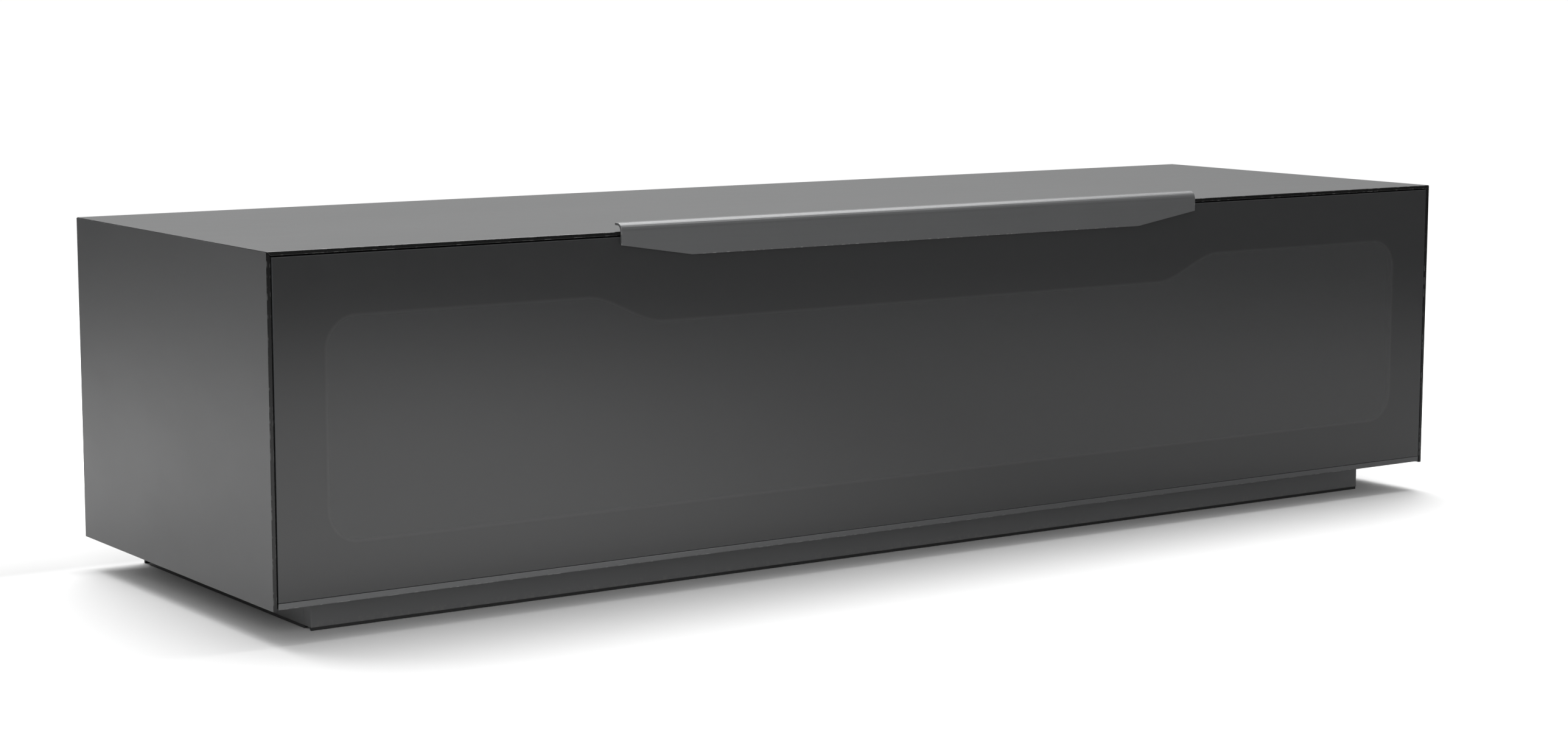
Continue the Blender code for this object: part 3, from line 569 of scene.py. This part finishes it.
def make_stay_fittings(steel, plastic):
    """Screws, spindle nuts and rivets on both damped stays, and the adjuster of each damper."""
    finishes = [steel, plastic]
    housing_depth, half_pitch = 12.3 * MM, 14 * MM
    spindle_in, rivet_in, plate_in = 10 * MM, 6.5 * MM, 4.7 * MM
    for side, sign in SIDES.items():
        inwards = (-sign, 0, 0)
        low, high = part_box("damper_housing_" + side)
        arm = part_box("damper_arm_" + side)
        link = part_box("damper_link_" + side)
        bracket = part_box("flap_bracket_" + side)
        housing_face = inner_face(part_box(f"{side}_side_board"), side) - sign * housing_depth
        middle_z = (low.z + high.z) / 2
        places = [
            (housing_face, high.y - 9 * MM, middle_z + way * half_pitch) for way in BOTH_WAYS
        ]
        sizes = {"radius": 3.2 * MM, "height": 1.4 * MM}
        screws(f"damper_screws_{side}", "cabinet", places, inwards, finishes, **sizes)

        def adjuster(mesh):
            add_screw(mesh, (housing_face, high.y - 26 * MM, middle_z), inwards, 5.5 * MM, 0.5 * MM)

        piece(f"damper_adjuster_{side}", "cabinet", [plastic, plastic], adjuster)

        def nut(mesh):
            place = (inner_face(arm, side), arm[0].y + spindle_in, arm[0].z + spindle_in)
            add_nut(mesh, place, inwards, across_flats=10 * MM, height=2.6 * MM, bolt=2.2 * MM)

        piece(f"spindle_nut_{side}", f"{side}_arm", [steel], nut)

        def rivet(mesh):
            place = (inner_face(link, side), link[1].y - rivet_in, link[1].z - rivet_in)
            add_cap(mesh, place, inwards, radius=4.6 * MM, height=0.9 * MM)

        piece(f"link_rivet_{side}", f"{side}_link", [steel], rivet)
        plate_x = inner_face(bracket, side) + sign * plate_in
        plate_face = bracket[0].y + 2 * MM
        middle_z = (bracket[0].z + bracket[1].z) / 2
        places = [(plate_x, plate_face, middle_z + way * half_pitch) for way in BOTH_WAYS]
        sizes = {"radius": 3.2 * MM, "height": 1.5 * MM}
        screws(f"flap_bracket_screws_{side}", "flap", places, (0, 1, 0), finishes, **sizes)


def make_catch_fittings(steel, plastic):
    """Pole plates and screws on the magnet catches, and flush screws in the strike plates."""
    finishes = [steel, plastic]
    pole_place, half_pole, pole_inset = 5 * MM, 1.6 * MM, 1.5 * MM
    for side in SIDES:
        low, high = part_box("magnet_catch_" + side)
        middle = (low + high) / 2

        def poles(mesh):
            for way in BOTH_WAYS:
                x = middle.x + way * pole_place
                start = (x - half_pole, low.y - 0.2 * MM, low.z + pole_inset)
                end = (x + half_pole, low.y + 0.3 * MM, high.z - pole_inset)
                add_block(mesh, start, end, 0.1 * MM)

        piece(f"catch_poles_{side}", "cabinet", [steel], poles)
        places = [(middle.x + way * 15 * MM, middle.y, low.z) for way in BOTH_WAYS]
        screws(f"catch_screws_{side}", "cabinet", places, (0, 0, -1), finishes, radius=3 * MM)
        low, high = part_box("strike_plate_" + side)
        middle = (low + high) / 2
        places = [(middle.x + way * 12 * MM, high.y, middle.z) for way in BOTH_WAYS]
        sizes = {"radius": 2.8 * MM, "height": 0.15 * MM}
        screws(f"strike_screws_{side}", "flap", places, (0, 1, 0), finishes, **sizes)


def make_back_screws(finishes):
    """Screws round each back panel, into the bottom and top boards and the dividers."""
    floor_z = (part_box("bottom_board")[0].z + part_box("bottom_board")[1].z) / 2
    top_z = (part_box("top_board")[0].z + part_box("top_board")[1].z) / 2
    divider_reach = 0.5
    sizes = {"radius": 3 * MM, "height": 1.5 * MM}
    for name in ("left", "middle", "right"):
        low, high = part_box("back_panel_" + name)
        span = high.x - low.x
        levels = (floor_z, top_z - 1.5 * MM)
        spots = [(low.x + span * share, z) for z in levels for share in (0.12, 0.5, 0.88)]
        divider_edges = [x for x in (low.x, high.x) if abs(x) < divider_reach]
        for share in (0.42, 0.66):
            z = low.z + (high.z - low.z) * share
            for x in divider_edges:
                onto_panel = math.copysign(3.8 * MM, (low.x + high.x) / 2 - x)
                spots.append((x + onto_panel, z))
        places = [(x, high.y, z) for x, z in spots]
        screws(f"back_screws_{name}", "cabinet", places, (0, 1, 0), finishes, **sizes)


def make_handle_screws(finishes):
    """The handle's fixing screws, reached from inside the flap."""
    handle_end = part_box("handle")[1].x
    frame_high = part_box("flap_frame")[1]
    z = frame_high.z - 11 * MM
    places = [(handle_end * share, frame_high.y, z) for share in (-0.88, -0.30, 0.30, 0.88)]
    sizes = {"radius": 3.4 * MM, "height": 1.6 * MM}
    screws("handle_screws", "flap", places, (0, 1, 0), finishes, **sizes)


def make_pin_holes(steel, dark):
    """Rows of sleeved shelf-pin holes above and below the pins in use, clear of the stays."""
    pitch = 32 * MM
    steps_each_way = range(-3, 4)
    stay_below_pin = 70 * MM
    for side in SIDES:
        bay_middle = sum(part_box(f"{side}_shelf"), Vector()).x / 2
        for post, board_name in (("outer", f"{side}_side_board"), ("inner", f"{side}_divider")):
            board_low, board_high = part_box(board_name)
            face = board_high.x if bay_middle > board_high.x else board_low.x
            out = (math.copysign(1, bay_middle - face), 0, 0)
            places = []
            for end in ("front", "back"):
                pin_low, pin_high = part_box(f"shelf_pin_{side}_{end}_{post}")
                pin = (pin_low + pin_high) / 2
                beside_stay = post == "outer" and end == "front"
                lowest = pin.z - stay_below_pin if beside_stay else 0.0
                heights = [pin.z + pitch * step for step in steps_each_way if step]
                places += [(face, pin.y, z) for z in heights if z > lowest]

            def sleeves(mesh):
                for place in places:
                    add_sleeve(mesh, place, out)

            piece(f"pin_holes_{side}_{post}", "cabinet", [steel, dark], sleeves)


def make_cover_caps(plastic):
    """Caps over the cam fittings under the top board and on the bottom board."""
    top_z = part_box("top_board")[0].z
    floor_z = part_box("bottom_board")[1].z
    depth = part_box("top_board")[1].y
    cam_reach = 26 * MM
    xs = []
    for side, sign in SIDES.items():
        low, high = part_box(f"{side}_divider")
        side_face = inner_face(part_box(f"{side}_side_board"), side)
        xs += [low.x - cam_reach, high.x + cam_reach, side_face - sign * cam_reach]
    for name, z, up in (("top", top_z, -1), ("floor", floor_z, 1)):
        def caps(mesh):
            for x in xs:
                for y in (-0.55 * depth, 0.78 * depth):
                    add_cap(mesh, (x, y, z), (0, 0, up), radius=8.5 * MM, height=0.8 * MM)

        piece(f"cam_caps_{name}", "cabinet", [plastic], caps)


def make_plinth_seals(plastic):
    """Soft black lips that close the gap between the plinth rails and the floor."""
    recess, thickness = 0.5 * MM, 3 * MM
    above_floor, below_rail = 0.2 * MM, 0.1 * MM
    for side in ("front", "back", "left", "right"):
        low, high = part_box("plinth_" + side)
        outwards = -1 if side in ("front", "left") else 1
        across = 0 if side in SIDES else 1
        outer_face = (low if outwards < 0 else high)[across] - outwards * recess
        start, end = list(low), list(high)
        if side not in SIDES:
            start[0], end[0] = low.x + recess, high.x - recess
        start[across], end[across] = sorted((outer_face, outer_face - outwards * thickness))
        start[2], end[2] = above_floor, low.z - below_rail

        def seal(mesh):
            add_block(mesh, start, end, 0.2 * MM)

        piece(f"plinth_seal_{side}", "cabinet", [plastic], seal)


def make_cable_brushes(plastic):
    """Two facing rows of bristle tufts in each cable outlet, in two layers, to let a cable by."""
    rim, pitch, half_gap = 7.3 * MM, 1.9 * MM, 1.2 * MM
    spread = random.Random(11)
    for name in ("left", "middle", "right"):
        low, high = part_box("cable_rim_" + name)
        middle = (low + high) / 2
        half_height = (high.z - low.z) / 2 - rim
        half_width = (high.x - low.x) / 2 - rim
        straight = half_width - half_height
        count = int(2 * half_width / pitch)

        def tuft(mesh, across, up, y):
            """From a thick root in the rim to a thin tip just past the middle, leaning a little."""
            round_end = max(abs(across) - straight, 0.0)
            root = math.sqrt(max(half_height ** 2 - round_end ** 2, 0.0))
            lean = spread.uniform(-0.8, 0.8) * MM
            tip = -spread.uniform(0.4, 1.6) * MM
            x = middle.x + across
            ends = ((0.0, root, 1.05 * MM, 0.45 * MM), (lean, tip, 0.8 * MM, 0.25 * MM))
            rings = []
            for shift, reach, half, depth in ends:
                corners = ((-half, -depth), (half, -depth), (half, depth), (-half, depth))
                z = middle.z + up * reach
                rings.append([(x + shift + dx, y + dy, z) for dx, dy in corners])
            add_rings(mesh, rings)

        def brush(mesh):
            for layer, y in enumerate((middle.y - half_gap, middle.y + half_gap)):
                for i in range(count):
                    across = (i + 0.5 + 0.5 * layer - count / 2) * pitch
                    for up in BOTH_WAYS:
                        tuft(mesh, across, up, y)

        piece(f"cable_brush_{name}", "cabinet", [plastic], brush)


def small_finish(maker, name):
    """A finish for small fittings: the box is far away, so that no edge of theirs is worn."""
    return maker(name, Vector((-9, -9, -9)), Vector((9, 9, 9)))


def make_fittings():
    steel = small_finish(zinc_steel, "fitting_steel")
    plastic = small_finish(black_plastic, "fitting_plastic")
    make_hinge_screws([steel, plastic])
    make_stay_fittings(steel, plastic)
    make_catch_fittings(steel, plastic)
    make_back_screws([steel, plastic])
    make_handle_screws([steel, plastic])
    make_pin_holes(steel, plastic)
    make_cover_caps(plastic)
    make_cable_brushes(plastic)
    make_plinth_seals(plastic)


# ---------------------------------------------------------------- floor, light and camera

def make_floor():
    """A pale floor that fades out into the white backdrop, with a painted shadow behind the cabinet
    and a painted darker shade that only its reflections show.
    """
    low, high = cad_box
    reach = 9.0
    mesh = bpy.data.meshes.new("floor")
    corners = ((-reach, -reach), (reach, -reach), (reach, reach), (-reach, reach))
    mesh.from_pydata([(x, y, 0.0) for x, y in corners], [], [(0, 1, 2, 3)])
    floor = bpy.data.objects.new("floor", mesh)
    scene.collection.objects.link(floor)
    finish = Finish("pale_floor", IOR=1.3, Specular_IOR_Level=0.0)
    x, y, _ = finish.axes()
    past_x = (abs(x) - high.x).at_least(0.0)
    past_y = (abs(y) - high.y).at_least(0.0)
    away = diagonal(past_x, past_y)
    mottle = finish.noise(1.5, detail=2.0)
    # Painted shade seen in reflections only: glossy rays see the floor darker far from the window
    # side and to the left of the cabinet.
    mirrored = finish.node("ShaderNodeLightPath", output="Is Glossy Ray")
    painted_shade_far_from_window = (x + 0.45 * y).rise(-0.75, 0.25)
    painted_shade_left_of_cabinet = x.fall(low.x - 0.15, low.x + 0.05) * 0.4
    # Painted shadow: the floor is painted darker right behind the cabinet, fading out away from it.
    behind = y.rise(high.y - 0.05, high.y + 0.02) * away.fall(0.05, 0.6)
    colour = finish.mix(finish.mix(grey(0.86), grey(0.88), mottle), grey(0.40), behind * 0.8)
    colour = finish.mix(colour, grey(0.34), mirrored * painted_shade_far_from_window.at_least(painted_shade_left_of_cabinet))
    faded = away.fall(0.9, 3.4)
    floor_look = finish.set(Base_Color=colour, Roughness=0.8 + mottle * 0.1, Alpha=faded)
    mesh.materials.append(floor_look)


def make_studio():
    """A white backdrop for the eye, and a darker room with a bright far side for reflections."""
    world = bpy.data.worlds.new("studio")
    scene.world = world
    world.use_nodes = True
    studio = Tree(world.node_tree)
    background = next(node for node in studio.nodes if node.type == "BACKGROUND")
    _, y, z = studio.axes("Generated")
    behind = y.rise(-0.4, 0.9)
    upper = z.rise(-0.02, 0.10)
    overhead = z.rise(0.1, 0.9)
    room = 0.05 + upper * (0.16 + behind * 0.22 + overhead * 0.40)
    backdrop = 1.02
    seen = studio.node("ShaderNodeLightPath", output="Is Camera Ray")
    studio.feed(background.inputs["Strength"], room * (1 - seen) + seen * backdrop)
    background.inputs["Color"].default_value = (1.0, 1.0, 1.0, 1.0)


def make_lamp(name, place, target, size, power):
    """A rectangular lamp of this width and height in metres and power in watts."""
    light = bpy.data.lights.new(name, "AREA")
    light.shape = "RECTANGLE"
    light.size, light.size_y = size
    light.energy = power
    lamp = bpy.data.objects.new(name, light)
    lamp.location = place
    lamp.rotation_euler = (Vector(target) - Vector(place)).to_track_quat("-Z", "Y").to_euler()
    scene.collection.objects.link(lamp)


def make_lamps():
    make_lamp("overhead_softbox", (0.24, 1.10, 2.6), (0.15, 0.95, 0.0), (4.2, 2.4), 200.0)
    make_lamp("front_fill", (-2.4, -4.2, 1.7), (-0.2, -0.3, 0.1), (2.6, 1.6), 70.0)


def make_camera():
    """The viewer's place: to the left of the front, a little above the top."""
    data = bpy.data.cameras.new("camera")
    data.sensor_width = 36.0
    data.lens = 69.35
    data.clip_end = 60.0
    camera = bpy.data.objects.new("camera", data)
    camera.location = (-2.046, -2.902, 0.668)
    yaw, pitch, roll = (math.radians(angle) for angle in (34.853, 7.603, 0.113))
    aim = Matrix.Rotation(-yaw, 3, "Z") @ Matrix.Rotation(math.pi / 2 - pitch, 3, "X")
    camera.rotation_euler = (aim @ Matrix.Rotation(roll, 3, "Z")).to_euler()
    scene.collection.objects.link(camera)
    scene.camera = camera


dress_frame()
make_fittings()
make_floor()
make_studio()
make_lamps()
make_camera()
scene.view_settings.view_transform = "Standard"

bpy.context.view_layer.update()
